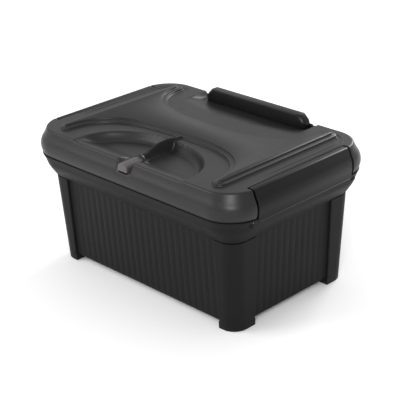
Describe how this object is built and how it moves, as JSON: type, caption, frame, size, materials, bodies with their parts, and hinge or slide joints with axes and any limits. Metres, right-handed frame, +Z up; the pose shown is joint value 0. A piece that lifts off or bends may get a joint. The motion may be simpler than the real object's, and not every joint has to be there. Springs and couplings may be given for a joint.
{
  "type": "battery box",
  "caption": "Moulded battery box: tub with corner posts, hinged lid, end clips, thumb latch, rear grip bar and an inner battery hold-down.",
  "frame": {"origin": "middle of the box on the ground it stands on", "axes": "+X along the long side, +Z up, -Y towards the latch"},
  "size_m": [0.5, 0.342, 0.27],
  "materials": {
    "tub_plastic": "fine satin grain",
    "lid_plastic": "fine satin grain",
    "clip_plastic": "smooth satin",
    "button_plastic": "smooth satin",
    "black_plastic": "moulded nylon",
    "steel_pin": "drawn steel",
    "spring_steel": "spring wire",
    "zinc_screw": "zinc plated",
    "coated_steel": "powder coated",
    "brass_nut": "cast brass",
    "mat_rubber": "ribbed mat",
    "seal_rubber": "soft seal"
  },
  "bodies": {
    "tub": {"tub_shell": "tub_plastic", "floor_mat": "mat_rubber", "rim_gasket": "seal_rubber", "hold_down_bar": "coated_steel", "hold_down_rod_left": "zinc_screw", "hold_down_rod_right": "zinc_screw", "rod_washer_left": "zinc_screw", "rod_washer_right": "zinc_screw", "gland_body_left": "black_plastic", "gland_body_right": "black_plastic", "gland_seal_left": "seal_rubber", "gland_seal_right": "seal_rubber", "gland_cap_left": "black_plastic", "gland_cap_right": "black_plastic", "gland_lock_nut_left": "black_plastic", "gland_lock_nut_right": "black_plastic", "vent_body": "black_plastic", "vent_cap": "black_plastic", "right_clip_pin": "steel_pin", "left_clip_pin": "steel_pin", "lid_hinge_pin": "steel_pin"},
    "lid": {"lid_shell": "lid_plastic", "rear_hinge_leaf": "lid_plastic", "rear_bar": "clip_plastic", "bar_screw_left": "zinc_screw", "bar_screw_middle": "zinc_screw", "bar_screw_right": "zinc_screw", "leaf_screw_left": "zinc_screw", "leaf_screw_middle": "zinc_screw", "leaf_screw_right": "zinc_screw", "latch_tray": "black_plastic", "tray_screw_left": "zinc_screw", "tray_screw_right": "zinc_screw", "latch_spring": "spring_steel"},
    "right_clip": {"right_end_clip": "clip_plastic"},
    "left_clip": {"left_end_clip": "clip_plastic"},
    "button": {"latch_button": "button_plastic"},
    "pawl": {"latch_pawl": "black_plastic"},
    "wing_left": {"wing_nut_left": "brass_nut"},
    "wing_right": {"wing_nut_right": "brass_nut"}
  },
  "joints": [
    {"name": "lid_hinge", "type": "hinge", "parent": "tub", "child": "lid", "pos_m": [0, 0.168, 0.2099], "axis": [-1, 0, 0], "range_deg": [0, 95]},
    {"name": "right_clip_hinge", "type": "hinge", "parent": "tub", "child": "right_clip", "pos_m": [0.245, 0, 0.2045], "axis": [0, 1, 0], "range_deg": [0, 100]},
    {"name": "left_clip_hinge", "type": "hinge", "parent": "tub", "child": "left_clip", "pos_m": [-0.245, 0, 0.2045], "axis": [0, -1, 0], "range_deg": [0, 100]},
    {"name": "latch_button_press", "type": "slide", "parent": "lid", "child": "button", "axis": [0, 0, -1], "range_m": [0, 0.003], "stiffness_N_per_m": 600, "springref_m": -0.002, "deforming": ["latch_spring"]},
    {"name": "latch_pawl_slide", "type": "slide", "parent": "lid", "child": "pawl", "axis": [0, 1, 0], "range_m": [0, 0.003]},
    {"name": "wing_nut_left_turn", "type": "hinge", "parent": "tub", "child": "wing_left", "pos_m": [-0.1939, 0, 0.22], "axis": [0, 0, 1], "continuous": true},
    {"name": "wing_nut_right_turn", "type": "hinge", "parent": "tub", "child": "wing_right", "pos_m": [0.1939, 0, 0.22], "axis": [0, 0, 1], "continuous": true}
  ],
  "couplings": [
    {"joint": "latch_pawl_slide", "follows": "latch_button_press", "ratio": 1}
  ]
}
